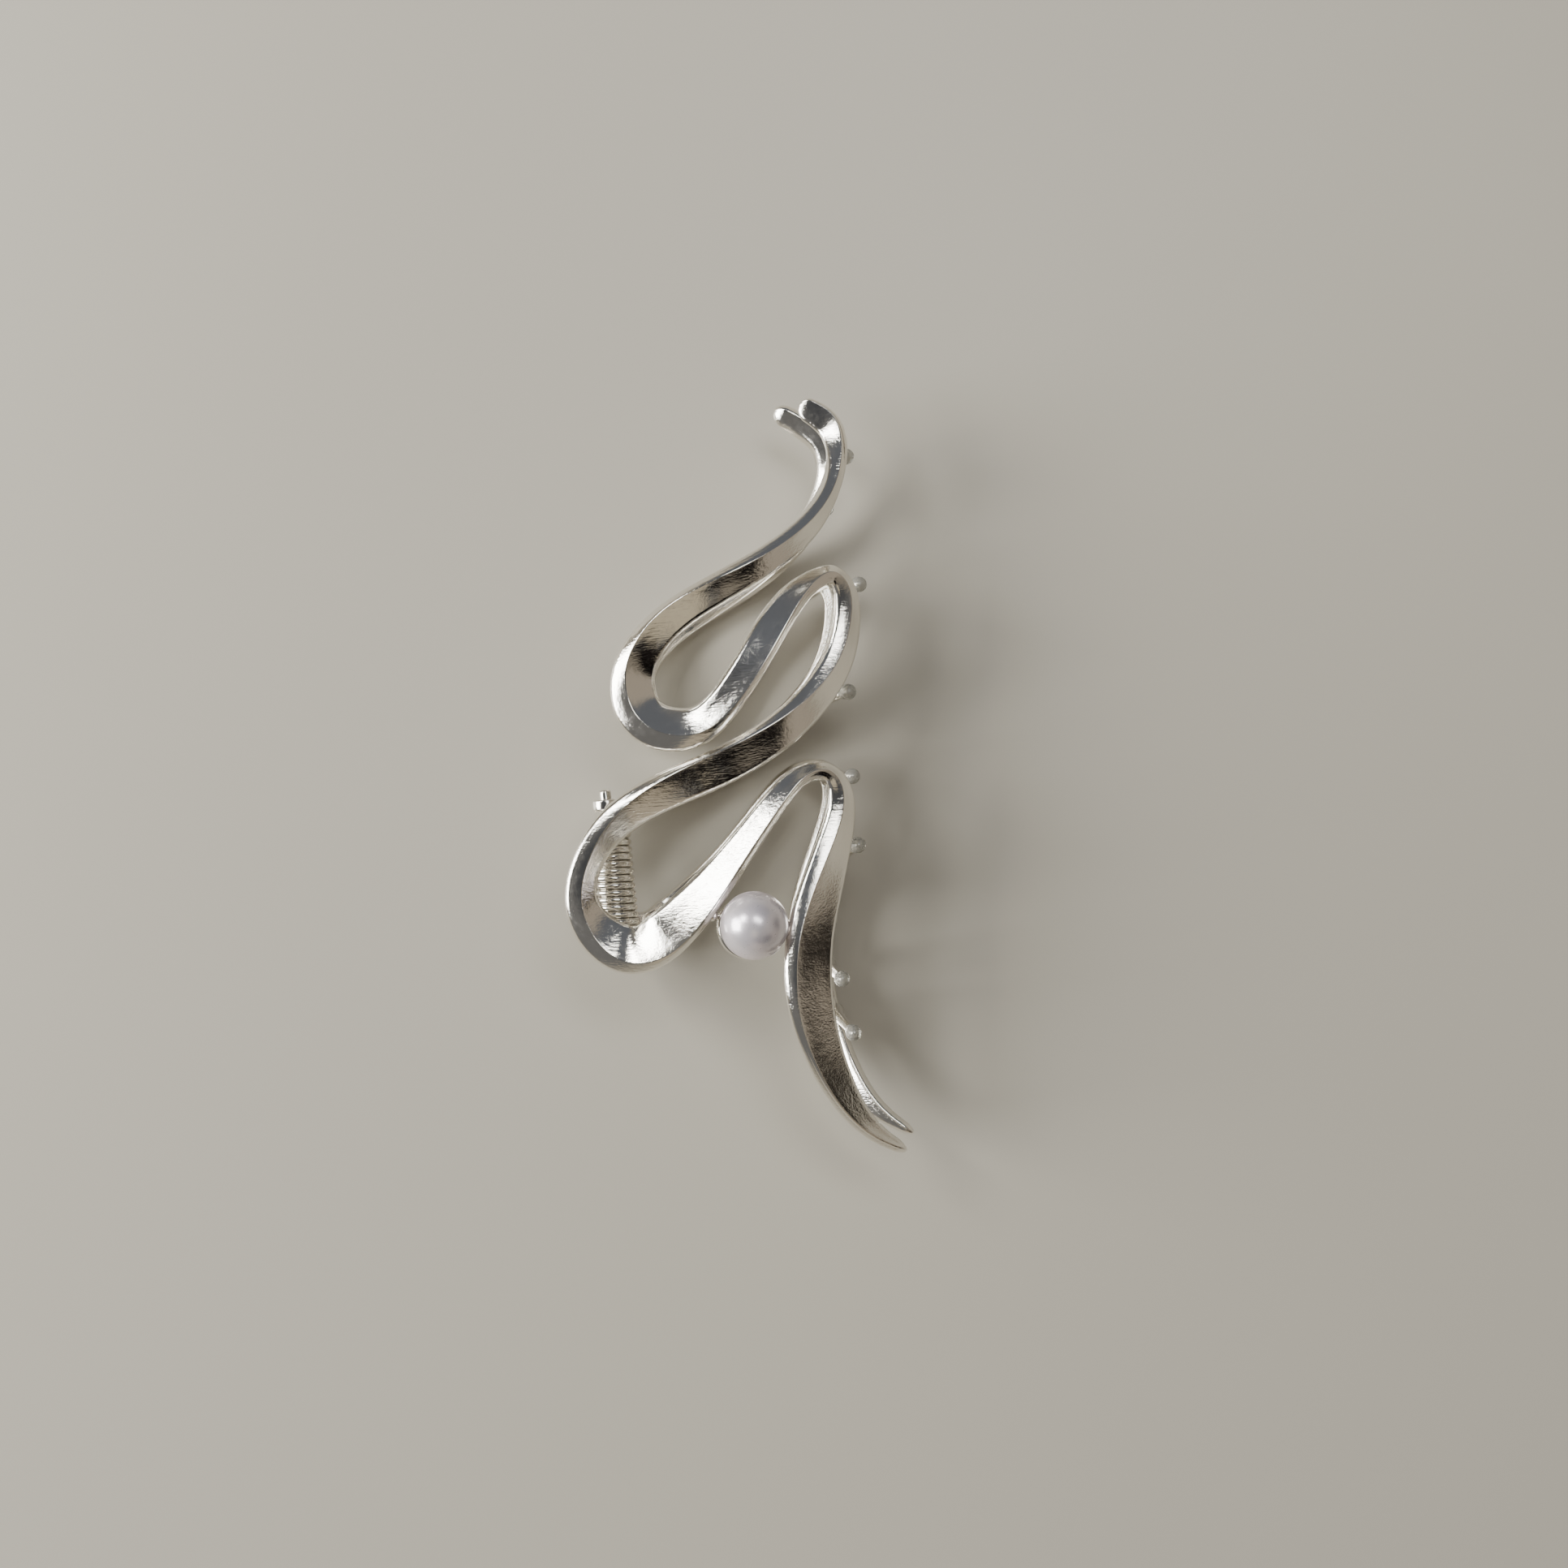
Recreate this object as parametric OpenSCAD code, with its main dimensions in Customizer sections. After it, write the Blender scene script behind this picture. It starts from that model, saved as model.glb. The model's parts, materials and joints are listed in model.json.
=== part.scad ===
// Claw clip. Two cast serpentine jaws face each other across a sprung hinge.
// Each jaw is one band with a crisp ridge, swept through a list of stations,
// with two hinge lugs and a row of teeth. Silicone caps cover the teeth, and
// the front jaw carries an imitation pearl in a small cup.
// X runs from the handles to the teeth, Y along the hinge towards the head,
// and Z from the rear jaw to the front jaw. Millimetres.

/* [Band] */
// Depth of the band from its ridge to its back
band_depth = 2.9; // [2.6:0.1:3.1]
// How far the wall below the wide facet stands out
wide_flare = 0.4; // [0.2:0.05:0.5]
// How far the wall below the narrow facet stands out
narrow_flare = 0.25; // [0.15:0.05:0.35]
// How far the back is set in below the narrow facet
back_inset = 0.5; // [0.2:0.1:0.6]
// Sections swept between two neighbouring stations
band_steps = 4; // [3:1:5]

/* [Hinge] */
// Radius of the hinge pin
pin_r = 0.75; // [0.6:0.05:0.8]
// Radial clearance of the pin in the front jaw's lugs
pin_clearance = 0.05; // [0.03:0.01:0.08]
// Outer radius of the lugs round the pin
lug_r = 1.8; // [1.7:0.1:2.2]
// Thickness of one lug along the pin
lug_t = 1.4; // [1:0.1:1.4]
// Gap between neighbouring lugs
lug_gap = 0.15; // [0.1:0.05:0.2]

/* [Spring] */
// Diameter of the spring wire
wire_d = 0.9; // [0.7:0.05:0.9]
// Mean radius of the coils
coil_r = 2.35; // [2.2:0.05:2.5]
// Distance between neighbouring coils
coil_pitch = 0.93; // [0.92:0.01:0.94]
// Whole turns between the two legs
coil_turns = 15; // [12:1:15]
// Length of each leg from its coil
leg_len = 4.4; // [3:0.1:4.6]

/* [Pearl] */
// Radius of the pearl
pearl_r = 4.2; // [4:0.05:4.2]
// Radius of the peg that the pearl is glued on
peg_r = 0.5; // [0.4:0.05:0.6]

/* [Teeth] */
// Radius of a tooth at its root
tooth_root_r = 0.85; // [0.7:0.05:1]
// Radius of a tooth inside its cap
tooth_tip_r = 0.5; // [0.4:0.05:0.55]
// Radius of a silicone cap
cap_r = 1; // [0.9:0.05:1.2]

/* [Hidden] */

silver = "#d9d6cf";
wire_silver = "#cfcdc6";
pearl_white = "#efe9ee";
cap_clear = "#d8d8d0";

// The hinge axis lies this far from the middle and the bottom of the whole clip
hinge_x = -14.92;
hinge_y = -11.91;
hinge_z = 11.34;

// Stations of the front jaw's band from its head to its tail, round the hinge axis:
// ridge x, y, z, roll of the section that lowers its left side in degrees, width of
// the wide facet on the left of the way along, width of the narrow facet on its right
stations = [
    [29.5, 59.7, 2.8, 20, 0.4, 1.9],
    [33.1, 57.8, 3.1, 26, 0.5, 2.4],
    [34.1, 54.5, 3.7, 4, 0.5, 1.9],
    [33.4, 49.0, 5.0, 50, 1.4, 0.3],
    [30.0, 44.0, 7.0, 34, 2.5, 0.6],
    [24.0, 40.0, 10.2, 18, 2.5, 0.7],
    [17.5, 37.5, 11.7, 5, 2.7, 0.6],
    [10.5, 35.0, 10.9, -9, 3.0, 0.6],
    [6.0, 31.0, 9.8, -2, 3.3, 0.9],
    [4.0, 26.5, 9.1, 12, 3.6, 1.5],
    [5.0, 21.0, 9.2, 16, 3.6, 1.9],
    [9.5, 18.5, 10.2, 4, 3.2, 1.8],
    [14.5, 18.5, 10.9, 0, 3.0, 0.9],
    [19.5, 23.5, 10.9, -8, 2.9, 0.5],
    [23.5, 29.0, 10.4, -8, 3.2, 0.4],
    [27.0, 34.5, 8.8, 8, 2.9, 0.4],
    [29.5, 37.0, 7.6, 28, 1.9, 0.6],
    [31.5, 37.5, 6.6, 36, 1.3, 0.8],
    [33.0, 36.0, 5.9, 42, 1.5, 1.1],
    [33.5, 33.0, 5.4, 46, 2.2, 1.4],
    [32.0, 27.5, 6.0, 42, 3.2, 1.3],
    [28.5, 23.0, 7.8, 30, 3.3, 1.0],
    [22.5, 19.0, 10.2, 12, 3.6, 0.6],
    [14.5, 16.0, 11.1, 2, 3.9, 0.3],
    [7.0, 13.5, 10.0, 6, 3.7, 0.6],
    [1.0, 9.5, 8.7, 24, 3.3, 1.2],
    [-2.5, 4.5, 8.4, 26, 2.0, 1.3],
    [-4.0, -0.5, 8.6, 22, 2.0, 1.5],
    [-2.5, -5.5, 8.4, 8, 3.6, 1.7],
    [1.0, -9.0, 8.4, -4, 4.6, 1.5],
    [7.0, -8.5, 10.6, -4, 5.1, 0.5],
    [12.5, -3.0, 11.6, 6, 4.6, 0.3],
    [17.0, 3.0, 10.9, 6, 2.9, 0.5],
    [22.0, 9.0, 10.5, 1, 2.3, 0.3],
    [25.0, 12.5, 9.6, 12, 1.8, 0.3],
    [28.0, 13.5, 8.4, 36, 1.2, 0.5],
    [30.0, 11.5, 7.6, 42, 1.8, 0.9],
    [30.0, 7.5, 7.4, 42, 3.0, 1.3],
    [27.0, 2.0, 9.0, 28, 4.2, 1.3],
    [23.0, -5.5, 10.6, 22, 5.0, 1.1],
    [21.5, -13.0, 11.7, 22, 5.3, 1.0],
    [22.5, -21.5, 10.2, 22, 4.8, 0.5],
    [26.0, -29.5, 7.2, 22, 3.5, 0.2],
    [30.0, -33.5, 5.0, 22, 1.8, 0.3],
    [34.0, -35.5, 3.2, 22, 0.5, 0.3]
];

// The rear jaw mirrors the front one, but leans and bows so that the tips pass side by side,
// and its head, the first two stations, reaches further in
rear_head = [
    [26.2, 59.8, 3.0, 20, 0.4, 1.6],
    [30.6, 57.6, 3.2, 28, 0.4, 2.2]
];
rear_lean = 0.03;
rear_bow = 0.00016;
rear_shorten = 0.98;
rear_raise = 0.7;

// Lugs: the middle of the spring along the hinge, and half of its length
spring_mid = 1.2;
spring_half = (coil_turns * coil_pitch + wire_d) / 2 + 0.25;

// Pearl and its peg
pearl_at = [17.4, -5.2, 10.6];
peg_top = 2.2;
dish_wall = 0.4;
dish_rim = 2.6;
// The cup's outer wall stands off to the handle side and has a higher rim
crescent_shift = [-0.9, -0.35, -0.3];
crescent_rim = 1.4;
// Bars from the band to the cup, round the pearl's centre
cup_bars = [[[-4.7, 1.6, -1.8], [-3.4, 1.1, -3]], [[4.9, -0.8, -1.8], [3.4, -0.5, -3]]];
cup_bar_r = 0.7;

// Teeth of each jaw: the station that each grows from, and its tip round the hinge axis
front_teeth = [
    [3.4, [31.2, 45.8, 0]],
    [20.2, [30.8, 26.4, 0]],
    [21.6, [26.0, 19.8, -1.0]],
    [37.4, [28.8, 4.9, -0.6]],
    [38.8, [26.0, -5.0, -1.4]],
    [40.4, [25.2, -16.6, -1.4]]
];
rear_teeth = [
    [2.6, [34.4, 52.1, -0.1]],
    [18.2, [34.5, 35.9, -0.7]],
    [21.0, [31.8, 22.4, 2.0]],
    [36.0, [31.3, 11.8, 0.6]],
    [37.9, [31.2, 3.1, 1.4]],
    [40.0, [27.6, -13.4, 2.0]],
    [40.9, [28.4, -20.3, 2.0]]
];
tooth_end = 1.3;
root_inset = 0.7;
root_depth = 1.8;

// ---- Curves -------------------------------------------------------------

// Cubic B-spline through neighbouring rows a, b, c, d
function blend(a, b, c, d, t) =
    (pow(1 - t, 3) * a + (3 * pow(t, 3) - 6 * t * t + 4) * b
    + (-3 * pow(t, 3) + 3 * t * t + 3 * t + 1) * c + pow(t, 3) * d) / 6;

function rows(list) = let (n = len(list))
    concat([2 * list[0] - list[1]], list, [2 * list[n - 1] - list[n - 2]]);

function smooth(list, steps) = let (p = rows(list), last = len(p) - 4)
    [for (i = [0:last], k = [0:(i == last ? steps : steps - 1)])
        blend(p[i], p[i + 1], p[i + 2], p[i + 3], k / steps)];

function unit(v) = v / norm(v);

// Faces of a closed tube of n rings with m points each
function tube_faces(n, m) = concat(
    [[for (j = [0:m - 1]) j]],
    [for (i = [0:n - 2], j = [0:m - 1]) let (k = (j + 1) % m)
        each [[i * m + j, (i + 1) * m + j, i * m + k],
              [i * m + k, (i + 1) * m + j, (i + 1) * m + k]]],
    [[for (j = [m - 1:-1:0]) (n - 1) * m + j]]);

// ---- Band ---------------------------------------------------------------

// House-shaped section: [left, up] points round the ridge at [0, 0]
function section(wide, narrow, depth) =
    let (wide_drop = 0.2 + 0.25 * wide, narrow_drop = 0.3 + 0.45 * narrow)
    [
        [0, 0],
        [-narrow, -narrow_drop],
        [-narrow - narrow_flare, -narrow_drop - 0.5],
        [-narrow + back_inset, -depth],
        [wide + 0.6 * wide_flare, -depth],
        [wide + wide_flare, -wide_drop - 0.5],
        [wide, -wide_drop]
    ];

// Row of the band's path with its section's left and outward directions
function left_of(row, ahead) = let (level = unit(cross([0, 0, 1], ahead)))
    cos(row[3]) * level - sin(row[3]) * cross(ahead, level);

function ahead_at(path, i) = let (a = path[max(i - 1, 0)], b = path[min(i + 1, len(path) - 1)])
    unit([b[0] - a[0], b[1] - a[1], b[2] - a[2]]);

// Point of the band at ring i, from [left, up] in its section
function on_band(path, i, p) =
    let (ahead = ahead_at(path, i), left = left_of(path[i], ahead))
    [path[i][0], path[i][1], path[i][2]] + p[0] * left + p[1] * cross(ahead, left);

// The last section at each end shrinks towards its middle, which rounds the tip
tip_scale = 0.6;

function ring(path, i) =
    let (rings_left = min(i, len(path) - 1 - i), scale = rings_left == 0 ? tip_scale : 1,
         depth = min(band_depth, 1.8 + 0.5 * rings_left / band_steps),
         wide = path[i][4], narrow = path[i][5], middle = [(wide - narrow) / 2, -depth / 2])
    [for (p = section(wide, narrow, depth)) on_band(path, i, middle + scale * (p - middle))];

// The band's rows along each jaw, the rear one still on the front jaw's side
front_path = smooth(stations, band_steps);
function rear_station(s) = [s[0] - rear_lean * s[1] + rear_bow * s[1] * s[1],
    rear_shorten * s[1] + rear_raise, s[2], s[3], s[4], s[5]];
rear_stations = concat(rear_head, [for (i = [2:len(stations) - 1]) rear_station(stations[i])]);
rear_path = smooth(rear_stations, band_steps);

module band(path) {
    polyhedron([for (i = [0:len(path) - 1]) each ring(path, i)], tube_faces(len(path), 7));
}

// ---- Lugs, cup and teeth ------------------------------------------------

// One lug: a plate from the ring round the pin up into the band
module lug(y, bore_r) {
    translate([0, y + lug_t / 2, 0]) rotate([90, 0, 0]) linear_extrude(lug_t) difference() {
        union() {
            circle(r = lug_r);
            polygon([[-1.65, 0.7], [1.75, -0.4], [3.8, 6.5], [0.2, 6.5]]);
        }
        circle(r = bore_r);
    }
}

// Lugs at both ends of the spring: inner = 0 beside it, 1 outside the other jaw's
module lugs(place, bore_r) {
    reach = spring_half + (place + 0.5) * lug_t + place * lug_gap;
    for (side = [-1, 1]) lug(spring_mid + side * reach, bore_r);
}

// Draws its children at a point, with their +Z turned along dir
module along(at, dir) {
    translate(at) rotate([0, acos(dir[2]), atan2(dir[1], dir[0])]) children();
}

// Root of a tooth inside the band, near the lower edge of its wide side
function root(path, station) = let (i = round(station * band_steps))
    on_band(path, i, [path[i][4] - root_inset, -root_depth]);

function rear_root(t) = let (p = root(rear_path, t[0])) [p[0], p[1], -p[2]];

// Tooth: a tapered prong with a round pin at its end that its cap grips
module tooth(from, tip) {
    dir = unit(tip - from);
    prong = norm(tip - from) - tooth_end;
    along(from, dir) {
        cylinder(h = prong, r1 = tooth_root_r, r2 = tooth_tip_r);
        cylinder(h = prong + tooth_end, r = tooth_tip_r);
    }
}

// Silicone ball with a blind bore for the end of its tooth
module cap(from, tip) {
    color(cap_clear) along(tip, unit(tip - from)) difference() {
        sphere(r = cap_r);
        translate([0, 0, -2 * cap_r]) cylinder(h = 2 * cap_r, r = tooth_tip_r);
    }
}

// Lower part of a ball, up to a level rim
module bowl(r, rim) difference() {
    sphere(r = r);
    translate([-2 * r, -2 * r, -rim]) cube(4 * r);
}

// Cup under the pearl, the peg inside it and the bars to the band on both sides
module pearl_cup() {
    translate(pearl_at) {
        difference() {
            union() {
                bowl(pearl_r + dish_wall, dish_rim);
                translate(crescent_shift) bowl(pearl_r + 0.05, crescent_rim + crescent_shift[2]);
                for (bar = cup_bars) along(bar[0], unit(bar[1] - bar[0]))
                    cylinder(h = norm(bar[1] - bar[0]), r = cup_bar_r);
            }
            sphere(r = pearl_r + 0.05);
        }
        translate([0, 0, -pearl_r - 0.3]) cylinder(h = peg_top + pearl_r + 0.3, r = peg_r);
    }
}

// ---- Nodes --------------------------------------------------------------

// Every node is drawn round the hinge axis, then set down on the ground
module set_down() translate([hinge_x, hinge_y, hinge_z]) children();

module front_jaw() color(silver) set_down() {
    band(front_path);
    lugs(0, pin_r + pin_clearance);
    for (t = front_teeth) tooth(root(front_path, t[0]), t[1]);
    pearl_cup();
}

module rear_jaw() color(silver) set_down() {
    mirror([0, 0, 1]) {
        band(rear_path);
        lugs(1, pin_r);
    }
    for (t = rear_teeth) tooth(rear_root(t), t[1]);
}

module hinge_pin() color(wire_silver) set_down() {
    half = spring_half + 2 * lug_t + lug_gap;
    low = spring_mid - half - 0.2;
    high = spring_mid + half + 1.2;
    translate([0, high, 0]) rotate([90, 0, 0]) cylinder(h = high - low, r = pin_r);
    translate([0, low, 0]) rotate([90, 0, 0]) cylinder(h = 0.4, r = pin_r + 0.35);
}

// Torsion spring: a leg to each handle and close coils between them
leg_angle = 48;
coil_steps = 16;
wire_sides = 6;
coil_total = 360 * coil_turns + 2 * leg_angle;
coil_rings = ceil(coil_total / 360 * coil_steps);

function coil_angle(i) = leg_angle - coil_total * i / coil_rings;
function coil_place(i) = let (a = coil_angle(i))
    [coil_r * cos(a), spring_mid + coil_turns * coil_pitch * (0.5 - i / coil_rings), coil_r * sin(a)];
function wire_ring(at, a) = [for (j = [0:wire_sides - 1]) let (b = j * 360 / wire_sides)
    at + wire_d / 2 * [cos(b) * cos(a), -sin(b), cos(b) * sin(a)]];

module torsion_spring() {
    leg_dir = leg_len * [-sin(leg_angle), 0, cos(leg_angle)];
    points = concat(
        wire_ring(coil_place(0) + leg_dir, leg_angle),
        [for (i = [0:coil_rings]) each wire_ring(coil_place(i), coil_angle(i))],
        wire_ring(coil_place(coil_rings) + [leg_dir[0], 0, -leg_dir[2]], -leg_angle));
    color(wire_silver) set_down() polyhedron(points, tube_faces(coil_rings + 3, wire_sides));
}

module pearl() color(pearl_white) set_down() difference() {
    translate(pearl_at) sphere(r = pearl_r);
    translate(pearl_at - [0, 0, pearl_r + 1]) cylinder(h = pearl_r + 1 + peg_top, r = peg_r);
}

module front_cap(i) let (t = front_teeth[i - 1]) set_down() cap(root(front_path, t[0]), t[1]);
module rear_cap(i) let (t = rear_teeth[i - 1]) set_down() cap(rear_root(t), t[1]);

front_jaw();
rear_jaw();
hinge_pin();
torsion_spring();
pearl();
front_cap(1);  // front_cap_1
front_cap(2);  // front_cap_2
front_cap(3);  // front_cap_3
front_cap(4);  // front_cap_4
front_cap(5);  // front_cap_5
front_cap(6);  // front_cap_6
rear_cap(1);  // rear_cap_1
rear_cap(2);  // rear_cap_2
rear_cap(3);  // rear_cap_3
rear_cap(4);  // rear_cap_4
rear_cap(5);  // rear_cap_5
rear_cap(6);  // rear_cap_6
rear_cap(7);  // rear_cap_7
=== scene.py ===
import json
import math

import bpy
import numpy as np
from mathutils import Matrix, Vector


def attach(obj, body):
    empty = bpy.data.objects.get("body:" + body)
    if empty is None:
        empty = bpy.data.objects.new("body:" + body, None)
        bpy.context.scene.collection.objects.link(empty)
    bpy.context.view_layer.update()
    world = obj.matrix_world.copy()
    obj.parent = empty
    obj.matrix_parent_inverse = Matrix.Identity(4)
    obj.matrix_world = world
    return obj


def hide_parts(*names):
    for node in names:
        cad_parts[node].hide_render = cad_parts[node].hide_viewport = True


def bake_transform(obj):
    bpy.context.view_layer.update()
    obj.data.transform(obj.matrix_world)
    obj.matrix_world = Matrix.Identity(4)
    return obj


# Claw clip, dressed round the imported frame. Shapes are worked out in millimetres
# round the hinge axis, with +X to the teeth, +Y to the heads and +Z to the front jaw.

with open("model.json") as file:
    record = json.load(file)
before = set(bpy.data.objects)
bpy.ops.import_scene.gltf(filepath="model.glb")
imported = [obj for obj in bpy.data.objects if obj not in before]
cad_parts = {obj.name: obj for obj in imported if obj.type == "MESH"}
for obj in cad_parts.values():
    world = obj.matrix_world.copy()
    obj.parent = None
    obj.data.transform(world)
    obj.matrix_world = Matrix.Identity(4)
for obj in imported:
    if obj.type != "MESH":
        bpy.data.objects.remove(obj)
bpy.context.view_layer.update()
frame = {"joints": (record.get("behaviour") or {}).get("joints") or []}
mm = 0.001
hinge = np.array(frame["joints"][0]["pos_m"])


def srgb(hexColour):
    parts = [int(hexColour[i:i + 2], 16) / 255 for i in (1, 3, 5)]
    return [p / 12.92 if p <= 0.04045 else ((p + 0.055) / 1.055) ** 2.4 for p in parts] + [1.0]


def addNode(tree, kind, settings=None, links=None):
    node = tree.nodes.new(kind)
    for key, value in (settings or {}).items():
        if isinstance(key, int) or key in node.inputs:
            node.inputs[key].default_value = value
        else:
            setattr(node, key, value)
    for key, output in (links or {}).items():
        tree.links.new(output, node.inputs[key])
    return node


def newMaterial(name):
    material = bpy.data.materials.new(name)
    material.use_nodes = True
    tree = material.node_tree
    tree.nodes.clear()
    output = addNode(tree, "ShaderNodeOutputMaterial")
    place = addNode(tree, "ShaderNodeTexCoord").outputs["Object"]
    return material, tree, output, place


def perMetre(lengthMm):
    return 1 / (lengthMm * mm)   # texture scale whose pattern repeats about every lengthMm


def stretchedNoise(tree, place, turnDeg, alongMm, acrossMm):
    # hairlines: noise drawn out along one direction
    turned = addNode(tree, "ShaderNodeMapping",
                     {"Rotation": [0.0, 0.0, math.radians(turnDeg)],
                      "Scale": [perMetre(alongMm), perMetre(acrossMm), perMetre(acrossMm)]},
                     {"Vector": place})
    return addNode(tree, "ShaderNodeTexNoise", {"Scale": 1.0, "Detail": 2.0},
                   {"Vector": turned.outputs["Vector"]}).outputs["Fac"]


plate = {
    "bright": "#fbf9f4",      # freshly plated silver, a little warm
    "dull": "#e9e4da",        # where the plate has started to tone
    "toneMm": 7.0,            # size of the toned clouds
    "waveMm": 3.6, "waveDepth": 0.040,          # ripple left in the casting, mm
    "grainMm": 0.80, "grainDepth": 0.028,       # grain of the cast skin under the plate, mm
    "lineMm": [3.0, 0.22], "lineDepth": 0.016,  # rub marks, drawn coarse enough to show, mm
    "lineTurns": [35, -50, 80],                 # the ways they run, degrees
    "patchMm": 6.0,           # size of the areas that are rubbed more or less
}


def silverPlate(name, smoothest, roughest, grain):
    # bright silver plate over cast zinc alloy: a near mirror whose reflections ripple and
    # break up at their edges, with hairline rub marks that come and go
    material, tree, output, place = newMaterial(name)
    tone = addNode(tree, "ShaderNodeTexNoise", {"Scale": perMetre(plate["toneMm"]), "Detail": 3.0},
                   {"Vector": place})
    colour = addNode(tree, "ShaderNodeMix",
                     {"data_type": "RGBA", 6: srgb(plate["dull"]), 7: srgb(plate["bright"])},
                     {0: tone.outputs["Fac"]})
    wave = addNode(tree, "ShaderNodeTexNoise", {"Scale": perMetre(plate["waveMm"]), "Detail": 1.0},
                   {"Vector": place})
    patch = addNode(tree, "ShaderNodeTexNoise", {"Scale": perMetre(plate["patchMm"]), "Detail": 2.0},
                    {"Vector": place})
    worn = addNode(tree, "ShaderNodeMapRange",
                   {"From Min": 0.38, "From Max": 0.62, "To Min": 0.25, "To Max": 1.0},
                   {"Value": patch.outputs["Fac"]})
    skin = addNode(tree, "ShaderNodeTexNoise",
                   {"Scale": perMetre(plate["grainMm"]), "Detail": 5.0, "Roughness": 0.68},
                   {"Vector": place})
    rough = addNode(tree, "ShaderNodeMapRange",
                    {"From Min": 0.35, "From Max": 0.7, "To Min": smoothest, "To Max": roughest},
                    {"Value": skin.outputs["Fac"]})
    waveBump = addNode(tree, "ShaderNodeBump", {"Distance": plate["waveDepth"] * mm},
                       {"Height": wave.outputs["Fac"]})
    normal = addNode(tree, "ShaderNodeBump", {"Distance": plate["grainDepth"] * mm * grain},
                     {"Height": skin.outputs["Fac"], "Normal": waveBump.outputs["Normal"]})
    for turnDeg in plate["lineTurns"]:
        lines = stretchedNoise(tree, place, turnDeg, *plate["lineMm"])
        normal = addNode(tree, "ShaderNodeBump", {"Distance": plate["lineDepth"] * mm * grain},
                         {"Strength": worn.outputs["Result"], "Height": lines,
                          "Normal": normal.outputs["Normal"]})
    shader = addNode(tree, "ShaderNodeBsdfPrincipled", {"Metallic": 1.0},
                     {"Base Color": colour.outputs[2], "Roughness": rough.outputs["Result"],
                      "Normal": normal.outputs["Normal"]})
    tree.links.new(shader.outputs["BSDF"], output.inputs["Surface"])
    return material


def nickelWire(name, smoothest, roughest):
    # drawn steel wire with nickel plate: bright, with fine die lines
    material, tree, output, place = newMaterial(name)
    cloud = addNode(tree, "ShaderNodeTexNoise", {"Scale": perMetre(1.2), "Detail": 3.0}, {"Vector": place})
    colour = addNode(tree, "ShaderNodeMix",
                     {"data_type": "RGBA", 6: srgb("#d8d4cb"), 7: srgb("#f0ede6")},
                     {0: cloud.outputs["Fac"]})
    rough = addNode(tree, "ShaderNodeMapRange", {"To Min": smoothest, "To Max": roughest},
                    {"Value": cloud.outputs["Fac"]})
    dieLines = stretchedNoise(tree, place, 0, 2.0, 0.1)
    bump = addNode(tree, "ShaderNodeBump", {"Distance": 0.003 * mm}, {"Height": dieLines})
    shader = addNode(tree, "ShaderNodeBsdfPrincipled", {"Metallic": 1.0},
                     {"Base Color": colour.outputs[2], "Roughness": rough.outputs["Result"],
                      "Normal": bump.outputs["Normal"]})
    tree.links.new(shader.outputs["BSDF"], output.inputs["Surface"])
    return material


def pearlCoat():
    # moulded bead dipped in pearl essence: milky, with a soft metallic glow, a faint pink
    # sheen and the slight wrinkles of the dried dip under a glossy topcoat
    material, tree, output, place = newMaterial("pearlEssenceCoat")
    cloud = addNode(tree, "ShaderNodeTexNoise", {"Scale": perMetre(2.2), "Detail": 4.0}, {"Vector": place})
    colour = addNode(tree, "ShaderNodeMix",
                     {"data_type": "RGBA", 6: srgb("#ddd4de"), 7: srgb("#f3eff3")},
                     {0: cloud.outputs["Fac"]})
    wrinkle = addNode(tree, "ShaderNodeTexNoise",
                      {"Scale": perMetre(0.6), "Detail": 3.0, "Distortion": 0.8}, {"Vector": place})
    rough = addNode(tree, "ShaderNodeMapRange", {"To Min": 0.24, "To Max": 0.34},
                    {"Value": wrinkle.outputs["Fac"]})
    bump = addNode(tree, "ShaderNodeBump", {"Distance": 0.011 * mm}, {"Height": wrinkle.outputs["Fac"]})
    shader = addNode(tree, "ShaderNodeBsdfPrincipled",
                     {"Metallic": 0.6, "IOR": 1.53, "Coat Weight": 0.9, "Coat Roughness": 0.09,
                      "Coat IOR": 1.5, "Sheen Weight": 0.25, "Sheen Roughness": 0.4,
                      "Sheen Tint": srgb("#f6dbe6")},
                     {"Base Color": colour.outputs[2], "Roughness": rough.outputs["Result"],
                      "Normal": bump.outputs["Normal"]})
    tree.links.new(shader.outputs["BSDF"], output.inputs["Surface"])
    return material


def clearSilicone():
    # dipped silicone rubber: milky and see-through at the rim, with a satin skin
    material, tree, output, place = newMaterial("translucentSilicone")
    haze = addNode(tree, "ShaderNodeTexNoise", {"Scale": perMetre(0.9), "Detail": 2.0}, {"Vector": place})
    colour = addNode(tree, "ShaderNodeMix",
                     {"data_type": "RGBA", 6: srgb("#c2c2bd"), 7: srgb("#dfdfda")},
                     {0: haze.outputs["Fac"]})
    rough = addNode(tree, "ShaderNodeMapRange", {"To Min": 0.18, "To Max": 0.34},
                    {"Value": haze.outputs["Fac"]})
    bump = addNode(tree, "ShaderNodeBump", {"Distance": 0.01 * mm}, {"Height": haze.outputs["Fac"]})
    shader = addNode(tree, "ShaderNodeBsdfPrincipled",
                     {"IOR": 1.41, "Transmission Weight": 0.65},
                     {"Base Color": colour.outputs[2], "Roughness": rough.outputs["Result"],
                      "Normal": bump.outputs["Normal"]})
    tree.links.new(shader.outputs["BSDF"], output.inputs["Surface"])
    return material


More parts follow.
